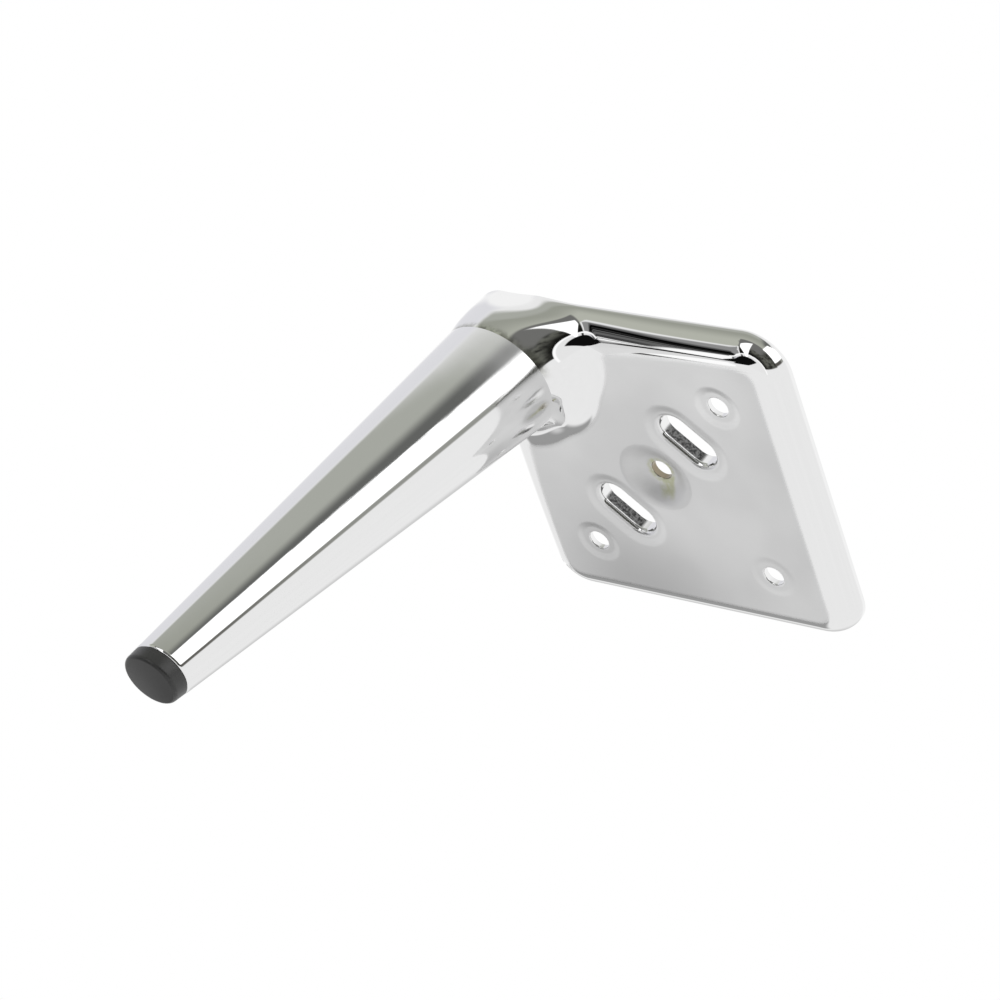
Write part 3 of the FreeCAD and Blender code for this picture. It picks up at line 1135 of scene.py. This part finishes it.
def lay_grey_wall(studio):
    """the grey wall, paler low down and high up, and darker towards the front panel"""
    turn, opening, layer = studio.turn, studio.opening, studio.graph.layer
    low, high, fade = (75, 108), (108, 113), (-8, 16)
    shade_turn, shade_opening, shade_slope = 20, 109, 1.2
    shade_end = shade_turn + (opening - shade_opening) * shade_slope
    wall = layer(GREY_WALL, GREY_WALL_LOW, opening.falling(*low))
    wall = layer(wall, GREY_WALL_HIGH, opening.rising(*high))
    wall = layer(wall, GREY_WALL_SHADED, (turn - shade_end).falling(*fade))
    studio.lay(wall, studio.patch(*GREY_WALL_PATCH))


def lay_dark_room(studio):
    """the dark room behind, olive in places, with light from below in front and a grey wall far behind"""
    turn, opening, layer = studio.turn, studio.opening, studio.graph.layer
    deep, side_start, top = (40, 58), (-5, 12), (84, 88)
    light_fade = (-2, 0)
    room = layer(ROOM, ROOM_OLIVE, studio.graph.patches(studio.way, ROOM_CLOUDS))
    room = layer(room, ROOM_DEEP, opening.falling(*deep))
    room = layer(room, ROOM_SIDE, turn.rising(*side_start) * opening.between(*ROOM_SIDE_OPENINGS))
    studio.lay(room, turn.between(*ROOM_TURNS) * opening.falling(*top))
    inside_ring = (opening - ring_opening(studio)).falling(*light_fade)
    studio.lay(LIGHT_BELOW, turn.between(*LIGHT_BELOW_TURNS) * inside_ring)
    studio.lay(LOW_WALL, studio.patch(*LOW_WALL_PATCH))


def ring_opening(studio):
    """the opening at which the white ring lies, wider towards the camera"""
    least, wider_from, widening = 30.5, 100, 0.07
    return least + (wider_from - studio.turn).at_least(0) * widening


def lay_panel_gap(studio):
    """the dark gap beside the front panel, paler high up"""
    high = (108, 114)
    shade = studio.graph.layer(GAP, GAP_HIGH, studio.opening.rising(*high))
    studio.lay(shade, studio.patch(*GAP_PATCH))


def lay_side_panel(studio):
    """the side panel of light, which narrows as it turns away"""
    turn, opening = studio.turn, studio.opening
    near, near_from, near_slope, near_fade = 22, 45, 1.5, (-2, 2)
    far, far_from, far_slope, far_fade = 82, 33, 0.45, (0, 4)
    near_edge = near + (turn - near_from).at_least(0) * near_slope
    far_edge = far - (turn - far_from).at_least(0) * far_slope
    edges = (opening - near_edge).rising(*near_fade) * (opening - far_edge).falling(*far_fade)
    studio.lay(SIDE_PANEL, turn.between(*PANEL_TURNS) * edges)


def lay_dark_bar(studio):
    """the dark bar beside the side panel, with thin streaks, a light edge and a black line"""
    turn, opening, graph = studio.turn, studio.opening, studio.graph
    middle_opening, middle_turn, slope, half_width = 46, 75, 0.22, (9, 13)
    streaks_per_turn, streaks_per_opening = 0.2, 0.04
    light_edge, line_turn, line_width = (93, 97), 101, (1.5, 4)
    middle = middle_opening - (turn - middle_turn) * slope
    thin = graph.node("ShaderNodeCombineXYZ", None, {0: turn * streaks_per_turn, 1: opening * streaks_per_opening})
    shade = graph.layer(BAR, BAR_STREAK, graph.patches(thin, BAR_STREAKS))
    shade = graph.layer(shade, BAR_EDGE, turn.falling(*light_edge))
    shade = graph.layer(shade, BAR_LINE, abs(turn - line_turn).falling(*line_width))
    studio.lay(shade, turn.between(*BAR_TURNS) * abs(opening - middle).falling(*half_width))


def lay_strips(studio):
    """a white strip beyond the bar, a white ring below it, a thin dark line, and black inside the ring"""
    turn, opening = studio.turn, studio.opening
    ring_width, line_width = (1, 2.5), (0.6, 1.8)
    black, wider_from, widening, fade = 25, 100, 0.03, (-1, 1)
    black_edge = black + (wider_from - turn).at_least(0) * widening
    studio.lay(WHITE_STRIP, studio.patch(*STRIP_PATCH))
    studio.lay(WHITE_STRIP, turn.between(*RING_TURNS) * abs(opening - ring_opening(studio)).falling(*ring_width))
    studio.lay(DARK_LINE, turn.between(*LINE_TURNS) * abs(opening - LINE_OPENING).falling(*line_width))
    studio.lay(BLACK, turn.between(*BLACK_TURNS) * (opening - black_edge).falling(*fade))


def lay_front_panel(studio):
    """the front panel of light, its near edge slanted, and ragged high up"""
    turn, opening, graph = studio.turn, studio.opening, studio.graph
    start, near_fade, low, high = (-33, -30), (0, 4), (83, 86), (119, 126)
    near, corner, slope, slant_most = 1, 116, 1.4, 9.0
    ragged_from, raggedness, tears_per_opening, tears_per_turn = 108, 26, 5, 0.15
    torn = graph.node("ShaderNodeCombineXYZ", None, {0: opening * tears_per_opening, 1: turn * tears_per_turn})
    ragged = graph.noise(torn, *TEARS) - 0.5
    slant = ((corner - opening) * slope).at_most(slant_most)
    near_edge = near + slant + ragged * opening.rising(ragged_from, corner) * raggedness
    sides = turn.rising(*start) * (turn - near_edge).falling(*near_fade)
    studio.lay(FRONT_PANEL, sides * opening.rising(*low) * opening.falling(*high))


def make_studio():
    """the world: the studio for the chrome, and plain white for the camera"""
    world = bpy.data.worlds.new("studio")
    bpy.context.scene.world = world
    world.use_nodes = True
    graph = Graph(world.node_tree)
    studio = Studio(graph)
    for lay in (lay_pale_walls, lay_grey_wall, lay_dark_room, lay_panel_gap, lay_side_panel, lay_dark_bar,
                lay_strips, lay_front_panel):
        lay(studio)
    # everything above the plate is bright
    studio.lay(UPPER_ROOM, studio.opening.rising(*UPPER_ROOM_START))
    mirrored = graph.node("ShaderNodeBackground", None, {"Color": studio.color, "Strength": 1.0})
    white = graph.node("ShaderNodeBackground", None, {"Color": grey(1), "Strength": 1.0})
    to_camera = graph.node("ShaderNodeLightPath", None, None, "Is Camera Ray")
    mixed = graph.node("ShaderNodeMixShader", None, {0: to_camera, 1: mirrored, 2: white})
    graph.node("ShaderNodeOutputWorld", None, {"Surface": mixed})


place(make_plate(), "mounting_plate", "chrome_plate", plate_chrome())
place(make_tube(), "leg_tube", "chrome_tube", polished_chrome())
place(make_cap(), "foot_cap", "black_plastic", satin_black())
make_camera()
make_floor()
make_studio()
bpy.context.scene.view_settings.view_transform = "Standard"
